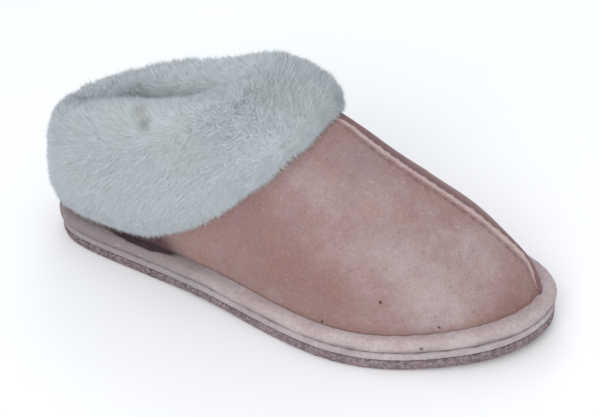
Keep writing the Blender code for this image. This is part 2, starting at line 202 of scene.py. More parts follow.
def make_mesh(name, points, quads=(), tris=(), slots=None, fields=None, smooth=True):
    quads = np.asarray(quads, np.int32).reshape(-1, 4)
    tris = np.asarray(tris, np.int32).reshape(-1, 3)
    me = bpy.data.meshes.new(name)
    co = place(points).astype(np.float32)
    me.vertices.add(len(co))
    me.vertices.foreach_set("co", co.ravel())
    corners = np.concatenate([quads.ravel(), tris.ravel()])
    me.loops.add(len(corners))
    me.loops.foreach_set("vertex_index", corners)
    sizes = np.concatenate([np.full(len(quads), 4), np.full(len(tris), 3)]).astype(np.int32)
    me.polygons.add(len(sizes))
    me.polygons.foreach_set("loop_start", np.concatenate([[0], np.cumsum(sizes)[:-1]]).astype(np.int32))
    if slots is not None:
        me.polygons.foreach_set("material_index", np.asarray(slots, np.int32))
    me.polygons.foreach_set("use_smooth", np.full(len(sizes), smooth))
    for key, values in (fields or {}).items():
        a = me.attributes.new(key, "FLOAT", "POINT")
        a.data.foreach_set("value", np.asarray(values, np.float32).ravel())
    me.update(calc_edges=True)
    me.validate()
    return me


def add_piece(name, me, materials, replaces=()):
    for m in materials:
        me.materials.append(m)
    ob = bpy.data.objects.new(name, me)
    bpy.context.scene.collection.objects.link(ob)
    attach(ob, "root")
    if replaces:
        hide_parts(*replaces)
    return ob


# ------------------------------------------------------------------ materials
def lin(r, g, b):
    c = np.array([r, g, b], float) / 255
    c = np.where(c <= 0.04045, c / 12.92, ((c + 0.055) / 1.055) ** 2.4)
    return (float(c[0]), float(c[1]), float(c[2]), 1.0)


class Shade:
    """A small builder for one procedural material."""

    def __init__(self, name, roughness, sheen=0.0, sheen_rough=0.5, sheen_tint=(1, 1, 1, 1), specular=0.5):
        self.mat = bpy.data.materials.new(name)
        self.mat.use_nodes = True
        self.tree = self.mat.node_tree
        self.tree.nodes.clear()
        out = self.tree.nodes.new("ShaderNodeOutputMaterial")
        self.bsdf = self.tree.nodes.new("ShaderNodeBsdfPrincipled")
        self.tree.links.new(self.bsdf.outputs[0], out.inputs[0])
        self.bsdf.inputs["Roughness"].default_value = roughness
        self.bsdf.inputs["Specular IOR Level"].default_value = specular
        if sheen:
            self.bsdf.inputs["Sheen Weight"].default_value = sheen
            self.bsdf.inputs["Sheen Roughness"].default_value = sheen_rough
            self.bsdf.inputs["Sheen Tint"].default_value = sheen_tint
        self.coords = self.tree.nodes.new("ShaderNodeTexCoord").outputs["Object"]

    def put(self, socket, value):
        if isinstance(value, bpy.types.NodeSocket):
            self.tree.links.new(value, socket)
        else:
            socket.default_value = value

    def field(self, name):
        n = self.tree.nodes.new("ShaderNodeAttribute")
        n.attribute_name = name
        return n.outputs["Fac"]

    def noise(self, scale, detail=2.0, rough=0.5, stretch=None):
        n = self.tree.nodes.new("ShaderNodeTexNoise")
        vector = self.coords
        if stretch:
            m = self.tree.nodes.new("ShaderNodeMapping")
            m.inputs["Scale"].default_value = stretch
            self.tree.links.new(vector, m.inputs["Vector"])
            vector = m.outputs[0]
        self.tree.links.new(vector, n.inputs["Vector"])
        n.inputs["Scale"].default_value = scale
        n.inputs["Detail"].default_value = detail
        n.inputs["Roughness"].default_value = rough
        return n.outputs["Fac"]

    def cells(self, scale):
        n = self.tree.nodes.new("ShaderNodeTexVoronoi")
        self.tree.links.new(self.coords, n.inputs["Vector"])
        n.inputs["Scale"].default_value = scale
        return n.outputs["Distance"]

    def spot(self, at, radius):
        """1 at a point of the shoe (mm), falling to 0 over the radius."""
        n = self.tree.nodes.new("ShaderNodeVectorMath")
        n.operation = "DISTANCE"
        self.tree.links.new(self.coords, n.inputs[0])
        n.inputs[1].default_value = tuple((np.array(at) - ORIGIN) * MM)
        return self.band(n.outputs["Value"], 0.25 * radius * MM, radius * MM, 1.0, 0.0)

    def band(self, value, low, high, to_low=0.0, to_high=1.0):
        n = self.tree.nodes.new("ShaderNodeMapRange")
        n.interpolation_type = "SMOOTHSTEP"
        self.put(n.inputs["Value"], value)
        for key, v in (("From Min", low), ("From Max", high), ("To Min", to_low), ("To Max", to_high)):
            n.inputs[key].default_value = v
        return n.outputs["Result"]

    def math(self, how, a, b=0.0):
        n = self.tree.nodes.new("ShaderNodeMath")
        n.operation = how
        self.put(n.inputs[0], a)
        self.put(n.inputs[1], b)
        return n.outputs[0]

    def mix(self, fac, a, b, how="MIX"):
        n = self.tree.nodes.new("ShaderNodeMix")
        n.data_type = "RGBA"
        n.blend_type = how
        self.put(n.inputs[0], fac)
        self.put(n.inputs[6], a)
        self.put(n.inputs[7], b)
        return n.outputs[2]

    def bump(self, height, strength, distance):
        n = self.tree.nodes.new("ShaderNodeBump")
        n.inputs["Strength"].default_value = strength
        n.inputs["Distance"].default_value = distance
        self.put(n.inputs["Height"], height)
        self.tree.links.new(n.outputs[0], self.bsdf.inputs["Normal"])

    def colour(self, value):
        self.put(self.bsdf.inputs["Base Color"], value)
        return self.mat


def suede_material():
    s = Shade("suede", 0.97, sheen=0.15, sheen_rough=0.5, sheen_tint=lin(228, 214, 214), specular=0.08)
    patch = s.math("MULTIPLY", s.math("SUBTRACT", s.noise(44, 4, 0.6), 0.5), 0.95)
    fleck = s.math("MULTIPLY", s.math("SUBTRACT", s.noise(165, 4, 0.65), 0.5), 0.85)
    # brushed nap, partly a painted highlight over the middle of the outer side
    nap_and_highlight = s.math("ADD", s.field("nap_and_highlight"), s.math("ADD", patch, fleck))
    base = s.mix(s.band(nap_and_highlight, -0.15, 1.1), lin(149, 119, 114), lin(177, 162, 161))
    base = s.mix(s.band(s.math("ADD", s.field("cool"), s.math("MULTIPLY", patch, 0.6)), 0.1, 1.0, 0.0, 0.7), base, lin(154, 138, 141))
    # worn warm and dark, partly painted shade below the wool's edge and low on the sides
    wear_and_shade = s.math("ADD", s.field("low"), s.math("MULTIPLY", s.math("SUBTRACT", s.noise(70, 4, 0.65), 0.5), 0.7))
    base = s.mix(s.band(wear_and_shade, 0.2, 1.1, 0.0, 0.75), base, lin(143, 109, 105))
    base = s.mix(s.band(s.noise(58, 3, 0.6), 0.50, 0.72, 0.0, 0.32), base, lin(162, 125, 108))
    base = s.mix(s.band(s.noise(81, 3, 0.6), 0.52, 0.72, 0.0, 0.34), base, lin(148, 120, 125))
    # painted shade on the inner side beside the seam, with darker nap there
    base = s.mix(s.band(s.field("far_nap_and_shade"), 0.0, 1.0, 0.0, 0.80), base, lin(128, 95, 100))
    base = s.mix(s.band(s.noise(1500, 3, 0.7), 0.34, 0.56, 0.26, 0.0), base, lin(112, 84, 83))
    base = s.mix(s.band(s.noise(820, 3, 0.65), 0.54, 0.74, 0.0, 0.20), base, lin(206, 192, 190))
    base = s.mix(s.band(s.noise(310, 3, 0.6), 0.60, 0.74, 0.0, 0.36), base, lin(128, 97, 95))
    base = s.mix(s.band(s.noise(560, 2, 0.5), 0.64, 0.80, 0.0, 0.30), base, lin(202, 184, 180))
    base = s.mix(s.band(s.noise(250, 3, 0.7, (1.0, 1.0, 0.45)), 0.64, 0.76, 0.0, 0.42), base, lin(112, 84, 84))
    pale = s.math("ADD", s.field("pale"), s.math("MULTIPLY", s.math("SUBTRACT", s.noise(240, 3, 0.6), 0.5), 0.7))
    base = s.mix(s.band(pale, 0.25, 0.95, 0, 0.75), base, lin(194, 175, 175))
    # painted shade in the groove beside the seam and along the foot of the upper
    groove_shade = s.math("MULTIPLY", s.field("groove"), s.band(s.noise(210, 3, 0.65), 0.30, 0.62, 0.15, 1.0))
    base = s.mix(s.band(groove_shade, 0.05, 0.95, 0.0, 0.6), base, lin(104, 76, 77))
    # painted shadow in the gap under the wool at the waist
    shadow_gap = s.math("MULTIPLY", s.field("shadow_gap"), s.band(s.noise(140, 3, 0.6), 0.2, 0.6, 0.7, 1.0))
    base = s.mix(s.band(shadow_gap, 0.0, 1.0, 0.0, 0.88), base, lin(68, 45, 53))
    for at, radius in (((199.0, -41.2, 30.8), 1.1), ((174.2, -48.2, 17.2), 1.0), ((222.2, -33.5, 19.6), 0.9)):
        base = s.mix(s.math("MULTIPLY", s.spot(at, radius), 0.9), base, lin(62, 44, 46))
    s.bump(s.math("ADD", s.noise(1300, 4, 0.7), s.math("MULTIPLY", s.noise(240, 4, 0.65), 1.9)), 0.7, 0.0006)
    return s.colour(base)


def band_material(name, light, dirt, shade):
    s = Shade(name, 0.92, sheen=0.10, sheen_rough=0.5, sheen_tint=lin(235, 228, 228), specular=0.12)
    base = s.mix(s.band(s.noise(55, 4, 0.6), 0.34, 0.66), light, dirt)
    # painted shade towards the heel, under the wool
    base = s.mix(s.band(s.field("heel"), 0.0, 1.0, 0.0, 0.8), base, shade)
    base = s.mix(s.band(s.noise(620, 4, 0.75), 0.36, 0.58, 0.30, 0.0), base, lin(134, 118, 120))
    base = s.mix(s.band(s.noise(300, 4, 0.7), 0.56, 0.72, 0.0, 0.30), base, lin(210, 197, 197))
    # grime, with painted shade towards the band's lower groove and on the toe's inner side
    grime_and_shade = s.math("ADD", s.field("soil_and_shade"), s.math("MULTIPLY", s.math("SUBTRACT", s.noise(120, 4, 0.7), 0.5), 0.9))
    base = s.mix(s.band(grime_and_shade, 0.15, 1.0, 0.0, 0.62), base, lin(132, 120, 122))
    # painted shade in the band's lower groove, at the welt's edges and on the ledge under the suede
    groove_shade = s.math("MULTIPLY", s.field("groove"), s.band(s.noise(260, 4, 0.7), 0.30, 0.60, 0.30, 1.0))
    base = s.mix(s.band(groove_shade, 0.1, 0.95, 0.0, 0.62), base, lin(106, 88, 92))
    # painted shadow in the gap under the wool at the waist
    shadow_gap = s.math("MULTIPLY", s.field("shadow_gap"), s.band(s.noise(140, 3, 0.6), 0.2, 0.6, 0.6, 1.0))
    base = s.mix(s.band(shadow_gap, 0.0, 1.0, 0.0, 0.85), base, lin(68, 45, 53))
    scuff = s.band(s.noise(34, 5, 0.7, (1.0, 1.0, 3.2)), 0.60, 0.72, 0.0, 0.28)
    base = s.mix(scuff, base, lin(150, 134, 136))
    base = s.mix(s.math("MULTIPLY", s.spot((217.9, -42.4, 13.3), 1.3), 0.75), base, lin(74, 56, 60))
    s.bump(s.math("ADD", s.noise(900, 4, 0.75), s.math("MULTIPLY", s.noise(210, 4, 0.65), 1.5)), 0.6, 0.0007)
    return s.colour(base)


def outsole_material():
    s = Shade("crepe_rubber", 0.86, specular=0.25)
    base = s.mix(s.band(s.noise(75, 4, 0.6), 0.35, 0.65), lin(134, 116, 121), lin(110, 96, 100))
    base = s.mix(s.band(s.field("heel"), 0.0, 1.0, 0.0, 0.55), base, lin(92, 82, 84))
    base = s.mix(s.band(s.noise(620, 3, 0.75), 0.42, 0.60, 0.0, 0.55), base, lin(172, 154, 158))
    base = s.mix(s.band(s.noise(780, 2, 0.6), 0.36, 0.50, 0.42, 0.0), base, lin(68, 56, 61))
    s.bump(s.math("ADD", s.noise(700, 4, 0.7), s.math("MULTIPLY", s.cells(420), 0.7)), 0.7, 0.0007)
    return s.colour(base)


def wool_material(name, root, tip, tint):
    s = Shade(name, 1.0, sheen=0.35, sheen_rough=0.6, sheen_tint=lin(232, 240, 245), specular=0.05)
    tone = s.math("ADD", s.field("tone"), s.math("MULTIPLY", s.math("SUBTRACT", s.noise(40, 3, 0.55), 0.5), 0.35))
    base = s.mix(s.band(tone, 0.0, 1.0), root, tip)
    base = s.mix(s.band(s.noise(24, 3, 0.5), 0.42, 0.66, 0.0, 0.35), base, tint)
    base = s.mix(s.band(s.field("warm"), 0.05, 1.0, 0.0, 0.55), base, lin(168, 156, 132))
    base = s.mix(s.band(s.field("shade"), 0.05, 1.0, 0.0, 0.75), base, lin(112, 112, 106))
    return s, base


def fleece_material():
    s, base = wool_material("fleece_lining", lin(206, 209, 207), lin(228, 231, 230), lin(218, 217, 208))
    curl = s.cells(330)
    base = s.mix(s.band(curl, 0.25, 0.7, 0.0, 0.40), base, lin(150, 148, 140))
    s.bump(s.math("ADD", s.noise(420, 4, 0.7), curl), 0.8, 0.0016)
    return s.colour(base)


def thread_material():
    s = Shade("thread", 0.8, sheen=0.1, specular=0.3)
    base = s.mix(s.band(s.noise(2400, 2, 0.5, (1, 1, 0.35)), 0.35, 0.65), lin(186, 166, 166), lin(170, 149, 149))
    s.bump(s.noise(3000, 2, 0.5), 0.4, 0.0002)
    return s.colour(base)


SUEDE = suede_material()
BAND = band_material("wrapped_band", lin(193, 178, 178), lin(178, 161, 162), lin(128, 117, 117))
WELT = band_material("welt_edge", lin(193, 182, 184), lin(178, 166, 169), lin(150, 141, 143))
CREPE = outsole_material()
FLEECE = fleece_material()
THREAD = thread_material()
_s, _b = wool_material("wool", lin(220, 227, 230), lin(232, 240, 244), lin(231, 236, 235))
WOOL_MAT = _s.colour(_b)
# the backing is a darker copy of the wool: painted shade for the depth among the strands
_s, _b = wool_material("wool_backing", lin(206, 213, 216), lin(218, 225, 228), lin(216, 221, 220))
_s.bump(_s.noise(500, 4, 0.7), 0.8, 0.0012)
SHADED_WOOL_CORE = _s.colour(_b)


# ------------------------------------------------------------------ sole
def plan_ring(distance, stations):
    """Ring of plan points at paired stations: heel, outer side, tip, inner side; distance may vary with X."""
    edge = inset_edge(distance)
    outer = edge[: TIP + 1]
    inner = np.concatenate([edge[:1], edge[:TIP - 1:-1]])
    x0, x1 = edge[:, 0].min(), edge[:, 0].max()
    xs = x0 + (x1 - x0) * 0.5 * (1 - np.cos(np.pi * np.arange(stations + 1) / stations))

    def side(path):
        order = np.argsort(path[:, 0], kind="stable")
        return np.interp(xs, path[order, 0], path[order, 1])

    yo, yi = side(outer), side(inner)
    yo[0] = yi[0] = 0.5 * (yo[0] + yi[0])
    yo[-1] = yi[-1] = 0.5 * (yo[-1] + yi[-1])
    return np.concatenate([np.stack([xs, yo], 1), np.stack([xs, yi], 1)[-2:0:-1]])


def smooth_profile(points, rows):
    p = np.array(points, float)
    run = np.concatenate([[0], np.cumsum(np.linalg.norm(np.diff(p, axis=0), axis=1))])
    table = np.column_stack([run, p])
    s = np.linspace(0, run[-1], rows)
    return np.stack([column(table, s, 1), column(table, s, 2)], 1)


def sole_layer(profile, stations=170, arched=0.0, rough=None):
    """Dense loft through a side profile with slatted caps.  Returns points, quads, tris, plan run and row data."""
    rows = []
    n = 2 * stations
    for k, (inset, z) in enumerate(profile):
        ring = plan_ring(inset, stations)
        x = ring[:, 0]
        zz = z + toe_lift(x)
        if arched:
            zz = zz + arch_lift(x) * np.clip(1 - z / arched, 0, 1)
        rows.append(np.column_stack([ring, zz]))
    rows = np.array(rows)
    base = rows[len(rows) // 2]
    run = np.concatenate([[0], np.cumsum(np.linalg.norm(np.diff(base, axis=0), axis=1))])
    if rough is not None:
        out = unit(base - np.roll(base, 1, 0) + np.roll(base, -1, 0) - base)
        out = np.stack([out[:, 1], -out[:, 0], np.zeros(n)], 1)
        rows = rows + rough(run, rows, np.arange(len(rows)))[..., None] * out[None]
    quads, tris = [], []
    i = np.arange(n)
    j = (i + 1) % n
    for k in range(len(rows) - 1):
        quads.append(np.stack([k * n + i, k * n + j, (k + 1) * n + j, (k + 1) * n + i], 1))
    for k, up in ((0, False), (len(rows) - 1, True)):
        o, inn = k * n + np.arange(1, stations), k * n + (n - np.arange(1, stations))
        q = np.stack([o[:-1], o[1:], inn[1:], inn[:-1]], 1)
        t = np.array([[k * n, o[0], inn[0]], [o[-1], k * n + stations, inn[-1]]])
        quads.append(q if up else q[:, ::-1])
        tris.append(t if up else t[:, ::-1])
    return rows, np.concatenate(quads), np.concatenate(tris), run


def heel_field(points):
    return 1 - step(50, 165, points[..., 0])


# outsole
prof = smooth_profile(((1.6, 0.0), (0.9, 0.25), (0.5, 0.9), (0.3, 2.4), (0.3, 4.3), (0.5, 4.75), (0.9, 5.0)), 16)
rows, quads, tris, run = sole_layer(prof, arched=1.6,
                                    rough=lambda s, p, k: 0.10 * wobble(s, 9, 3)[None] * np.sin(np.pi * k / 15)[:, None]
                                    - 0.10 - 0.10 * wobble(s + 4 * k[:, None], 2.6, 4))
add_piece("outsole_rubber", make_mesh("outsole_rubber", rows, quads, tris, fields={"heel": heel_field(rows)}),
          [CREPE], ["outsole"])

# welt
prof = smooth_profile(((1.3, 5.3), (0.7, 5.5), (0.3, 6.1), (0.25, 7.2), (0.4, 8.2), (0.9, 8.8), (1.6, 9.0)), 14)
rows, quads, tris, run = sole_layer(prof, rough=lambda s, p, k: (0.16 * wobble(s, 7, 5) + 0.10 * wobble(s, 2.4, 6) - 0.15)[None]
                                    * np.sin(np.pi * k / 13)[:, None])
# the welt's groove field paints shade along its two edges
edge = np.abs(np.linspace(-1, 1, 14))[:, None] + 0.18 * wobble(run, 8, 7)[None]
add_piece("welt_strip", make_mesh("welt_strip", rows, quads, tris,
                                  fields={"heel": heel_field(rows), "groove": step(0.55, 1.1, edge), "soil_and_shade": 0.35 + 0 * edge, "shadow_gap": 0 * edge}),
          [WELT], ["welt"])

# rolled, wrapped band of the platform: it bulges, and its top edge rolls down into the feather line
prof = smooth_profile(((2.0, 9.3), (0.9, 9.5), (0.2, 10.2), (-0.35, 11.3), (-0.4, 12.4), (0.1, 13.7), (1.2, 14.9), (2.9, 15.55), (4.4, 15.72), (6.2, 15.78), (8.2, 15.8), (9.6, 15.8)), 34)


def band_rough(s, p, k):
    t = k[:, None] / 24.0
    side = np.exp(-((t - 0.40) / 0.22) ** 2)
    soft = 0.28 * wobble(s, 26, 9)[None] * side
    tucks = 0.16 * wobble(s, 6.5, 10)[None] * np.exp(-((t - 0.60) / 0.22) ** 2)
    # a soft pressed line a little below the middle of the band, which comes and goes
    line = -0.45 * np.exp(-((t - 0.27 - 0.03 * wobble(s, 60, 11)[None]) / 0.045) ** 2) * (0.55 + 0.45 * wobble(s, 34, 12)[None])
    return soft + tucks + line - 0.1


rows, quads, tris, run = sole_layer(prof, rough=band_rough)
t = np.arange(34)[:, None] / 24.0
ring = plan_ring(0.0, 170)
ring_share = _share[np.linalg.norm(ring[:, None] - EDGE[None], axis=2).argmin(1)]
ledge = column(FEATHER_INSET, ring_share, 1)[None] - prof[:, :1] + 0.35 * wobble(run, 9, 14)[None]
x, y = rows[..., 0], rows[..., 1]
# under the wool at the waist the band has come away from the upper and leaves a gap, painted dark as its shadow
shadow_gap = step(34, 66, x) * (1 - step(70, 96, x)) * np.where(y < 0, 1.0, 0.4)
shadow_gap = step(0.02, 0.6, shadow_gap) * step(4.5, 6.8, prof[:, :1] + 2.9 * shadow_gap + 0.25 * wobble(run, 11, 15)[None])
rows[..., 2] -= 1.6 * shadow_gap
rows[..., 2] -= 0.45 * step(-0.4, 0.5, wobble(run, 6.0, 17))[None] * np.exp(-(t / 0.11) ** 2)
# painted shade along the band's lower groove and on the ledge where the suede meets it
line = np.exp(-((t - 0.10 - 0.02 * wobble(run, 20, 13)[None]) / 0.10) ** 2)
foot = 0.30 * np.exp(-(np.maximum(ledge, 0) / 1.3) ** 2)
# grime and painted shade towards the band's lower groove; painted shade on the toe's inner side
soil_and_shade = np.exp(-((t - 0.16) / 0.20) ** 2) * (0.70 + 0.40 * wobble(run, 28, 16)[None]) + 0.12 * step(236, 252, x) * (y > 0)
add_piece("platform_band", make_mesh("platform_band", rows, quads, tris,
                                     fields={"heel": heel_field(rows), "groove": np.maximum(line, foot), "soil_and_shade": soil_and_shade, "shadow_gap": shadow_gap}),
          [BAND], ["platform"])

# fleece footbed
prof = smooth_profile(((14.6, 15.9), (14.0, 16.6), (14.0, 18.9), (14.6, 20.4), (16.0, 21.1), (17.6, 21.35)), 10)
rows, quads, tris, run = sole_layer(prof, stations=120)
add_piece("fleece_footbed", make_mesh("fleece_footbed", rows, quads, tris,
                                      fields={"tone": 0.6 + 0 * rows[..., 0], "warm": 0.25 + 0 * rows[..., 0], "shade": 0 * rows[..., 0]}),
          [FLEECE], ["insole"])


# ------------------------------------------------------------------ upper
def seam_height(x):
    return 2.0 * step(156, 168, x) * (1 - 0.6 * step(244, 250, x))


quarter = np.linspace(0, THROAT, 70)
vamp_a = np.linspace(THROAT, 0.60, 24)[1:]
vamp_b = 0.60 + 0.40 * (1 - (1 - np.linspace(0, 1, 170)[1:]) ** 1.35)
SHARES = np.concatenate([quarter, vamp_a, vamp_b])
THROAT_I = len(quarter) - 1
FROM_TOP = np.array([7.4, 6.0, 4.8, 3.9, 3.2, 2.7, 2.3, 1.95, 1.65, 1.4, 1.2, 1.0, 0.82, 0.64, 0.46, 0.24, 0.0])
LOW_ROWS = 44


def bump_at(p, centre, size):
    d = (p - np.array(centre)) / np.array(size)
    return np.exp(-(d**2).sum(-1))


def trough(p, points, width, depth):
    """Soft crease along a line of points: depth at the line, fading sideways and towards its ends."""
    pts = np.array(points, float)
    best = np.full(p.shape[:-1], 1e9)
    where = np.zeros(p.shape[:-1])
    run = np.concatenate([[0], np.cumsum(np.linalg.norm(np.diff(pts, axis=0), axis=1))])
    for a, b, s0, s1 in zip(pts, pts[1:], run, run[1:]):
        ab = b - a
        t = np.clip(((p - a) @ ab) / (ab @ ab), 0, 1)
        d = np.linalg.norm(p - (a + t[..., None] * ab), axis=-1)
        closer = d < best
        best = np.where(closer, d, best)
        where = np.where(closer, (s0 + t * (s1 - s0)) / run[-1], where)
    ends = np.sin(np.pi * np.clip(where, 0, 1)) ** 0.6
    return depth * np.exp(-(best / width) ** 2) * ends


def upper_side(side):
    n, m = len(SHARES), LOW_ROWS + len(FROM_TOP)
    level = np.empty((n, m))
    top_run = np.empty((n, m))
    foot_run = np.empty((n, m))
    for i, share in enumerate(SHARES):
        lv = np.linspace(0, float(collar_level(share)), 220)
        p = skin(side, share, lv)
        run = np.concatenate([[0], np.cumsum(np.linalg.norm(np.diff(p, axis=0), axis=1))])
        reach = min(FROM_TOP[0], 0.42 * run[-1])
        low = (run[-1] - reach) * (np.linspace(0, 1, LOW_ROWS + 1)[:-1] ** 1.15)
        s = np.concatenate([low, run[-1] - FROM_TOP * reach / FROM_TOP[0]])
        level[i] = np.interp(s, run, lv)
        top_run[i], foot_run[i] = run[-1] - s, s
    share = np.broadcast_to(SHARES[:, None], level.shape)
    p, nrm = skin(side, share, level), skin_normal(side, share, level)
    return level, top_run, foot_run, share, p, nrm


spine_pts = np.stack([column(SPINE, SHARES, k) for k in (1, 2, 3)], -1)
SEAM_RUN = np.concatenate([[0], np.cumsum(np.linalg.norm(np.diff(spine_pts, axis=0), axis=1))])
STITCH = 4.7
grids = {}
for side in (-1, 1):
    level, d, foot, share, p, nrm = upper_side(side)
    on_vamp = step(THROAT + 0.02, THROAT + 0.07, share)
    proud = seam_height(p[..., 0]) * on_vamp
    s = np.broadcast_to(SEAM_RUN[:, None], d.shape)
    beat = np.cos(2 * np.pi * (s + (0.0 if side < 0 else STITCH * 0.5)) / STITCH + 0.9 * wobble(s, 30, 21))
    slack = 0.11 * wobble(s, 17, 22 + side)
    half = 0.52 + 0.15 * beat + slack
    ridge = 1 / (1 + np.exp((d - half) / 0.15))
    lift = proud * (0.84 * ridge * (1.0 + 0.16 * beat) - 0.05 * np.exp(-(d / 0.25) ** 2))
    groove = on_vamp * np.exp(-((d - half - 0.80) / 0.55) ** 2)
    lift = lift - 0.62 * groove * (0.8 + 0.35 * beat) * np.minimum(proud / 1.6, 1)
    if side > 0:
        lift = lift + 1.1 * np.exp(-((d - 5.5) / 4.0) ** 2) * on_vamp
    # the suede puckers where the stitches pull it
    lift = lift + 0.13 * beat * np.exp(-((d - 4.2) / 1.8) ** 2) * on_vamp
    # gathers above the feather line, most round the toe
    pull = np.exp(-(foot / 6.5) ** 2) * (0.35 + 0.65 * step(0.6, 0.82, share))
    lift = lift + 0.17 * pull * wobble(foot * 0.15 + p[..., 0] * 0.9 - side * p[..., 1] * 0.7, 6.2, 23)
    # its foot flares out over the band's ledge, more towards the toe
    lift = lift + (0.3 + 1.0 * step(0.58, 0.80, share)) * np.exp(-(foot / 4.2) ** 2)
    # creases of wear, given one by one
    if side < 0:
        lift = lift - trough(p, ((150, -42, 52), (168, -46, 38), (184, -46, 27)), 8.0, 0.9)
        lift = lift + trough(p, ((168, -36, 58), (186, -40, 42), (200, -38, 30)), 9.0, 0.8)
        lift = lift - trough(p, ((196, -20, 58), (208, -22, 48), (218, -22, 38)), 7.0, 0.6)
        lift = lift - trough(p, ((222, -8, 47), (231, -12, 38), (235, -17, 29)), 5.5, 0.5)
        lift = lift + bump_at(p, (216, -28, 38), (14, 12, 12)) * 0.7
    else:
        lift = lift - trough(p, ((152, 36, 56), (172, 40, 42), (190, 40, 28)), 8.0, 0.9)
        lift = lift - trough(p, ((190, 24, 56), (206, 28, 44), (214, 28, 32)), 7.0, 0.7)
        lift = lift + bump_at(p, (210, 32, 36), (14, 12, 12)) * 0.7
    lift = lift + 0.22 * waves(p, 38, 24) * np.minimum(1, foot / 10) * np.minimum(1, d / 8)
    outer = p + nrm * lift[..., None]
    sit = np.exp(-(foot / 1.6) ** 2)
    outer[..., 2] -= sit * (nrm[..., 2] * lift + 0.16)
    flat = nrm.copy()
    flat[..., 2] *= 1 - np.exp(-(foot / 3.0) ** 2)
    wall = (WALL * (1 - 0.35 * step(0.93, 1.0, share)))[..., None]
    inner = p - unit(flat) * wall
    # where the nap has been brushed light, partly a painted highlight over the middle of the outer side; where it is
    # worn warm and dark, partly painted shade
    if side < 0:
        # nap blobs on the outer side, partly a painted highlight
        nap_and_highlight = (0.07 + 0.78 * bump_at(p, (220, -31, 26), (18, 15, 18)) + 0.42 * bump_at(p, (205, -26, 46), (20, 17, 15))
               + 0.48 * bump_at(p, (186, -20, 62), (20, 18, 14)) + 0.46 * bump_at(p, (158, -25, 70), (18, 14, 12))
               + 0.48 * bump_at(p, (228, -8, 46), (13, 10, 10)) + 0.28 * bump_at(p, (238, -13, 36), (10, 10, 10)) + 0.32 * bump_at(p, (188, -36, 47), (17, 11, 13)))
        low = (0.85 * bump_at(p, (148, -45, 32), (26, 13, 15)) + 0.65 * bump_at(p, (180, -47, 28), (16, 10, 10)) + 0.40 * bump_at(p, (168, -42, 42), (14, 11, 11))
               + 0.60 * bump_at(p, (242, -11, 28), (9, 13, 13)) + 0.50 * bump_at(p, (140, -36, 48), (28, 12, 17)))
        cool = 0.75 * bump_at(p, (172, -8, 76), (20, 15, 10)) + 0.35 * bump_at(p, (150, -22, 76), (14, 12, 9))
        far_nap_and_shade = 0 * d
    else:
        nap_and_highlight = 0.7 * bump_at(p, (190, 30, 50), (22, 14, 16)) + 0.7 * bump_at(p, (214, 28, 36), (18, 14, 14))
        low = 0.8 * bump_at(p, (150, 40, 32), (30, 12, 16)) + 0.7 * bump_at(p, (238, 14, 28), (10, 13, 10))
        cool = 0.4 * bump_at(p, (172, 16, 72), (20, 12, 12))
        # painted shade on the inner side close to the seam, with darker nap there
        far_nap_and_shade = step(0.25, 0.7, d) * np.exp(-(d / 13) ** 2) * on_vamp
    low = low + 0.75 * np.exp(-(foot / 4.5) ** 2) * step(0.55, 0.70, share)
    # painted shadow of the wool's lower edge on the suede just below it
    below = column(CUFF_EDGE, share / CUFF_END, 1) - level
    low = low + np.where(share < CUFF_END, 0.55 * np.exp(-(np.maximum(below, 0) / 0.08) ** 2), 0.0)
    pale = on_vamp * (1 / (1 + np.exp((d - (half + 0.15 if side < 0 else 0.25)) / 0.14))) * np.minimum(proud / 1.2, 1)
    # painted shade in the groove beside the seam and where the upper meets the band
    groove_shade = np.maximum(0.85 * groove * np.minimum(proud / 1.6, 1) * (0.55 + 0.45 * beat), 0.42 * np.exp(-(foot / 2.0) ** 2))
    # painted shadow on the suede in the gap under the wool at the waist
    shaded_hollow = np.clip(1.5 * np.exp(-((p[..., 0] - 66) / 20) ** 2) * np.exp(-(foot / 8.5) ** 2), 0, 1) * (1.0 if side < 0 else 0.5)
    grids[side] = dict(outer=outer, inner=inner, nap_and_highlight=np.clip(nap_and_highlight, 0, 1.2), low=np.clip(low, 0, 1.2), cool=cool, far_nap_and_shade=far_nap_and_shade, pale=pale,
                       groove=groove_shade, shadow_gap=shaded_hollow)

n, m = len(SHARES), LOW_ROWS + len(FROM_TOP)
index = {}
points, fields = [], {"nap_and_highlight": [], "low": [], "cool": [], "far_nap_and_shade": [], "pale": [], "groove": [], "shadow_gap": [], "tone": [], "warm": [], "shade": []}
count = 0
for which in ("outer", "inner"):
    for side in (-1, 1):
        idx = np.full((n, m), -1)
        if side == 1:
            other = index[which, -1]
            idx[0], idx[-1] = other[0], other[-1]
            idx[THROAT_I:, -1] = other[THROAT_I:, -1]
        new = idx < 0
        idx[new] = count + np.arange(new.sum())
        count += int(new.sum())
        index[which, side] = idx
        points.append(grids[side][which][new])
        for key in ("nap_and_highlight", "low", "cool", "far_nap_and_shade", "pale", "groove", "shadow_gap"):
            fields[key].append(grids[side][key][new])
        fields["tone"].append(np.full(new.sum(), 0.4))
        fields["warm"].append(np.full(new.sum(), 0.2))
        fields["shade"].append(np.zeros(new.sum()))
quads, slots = [], []
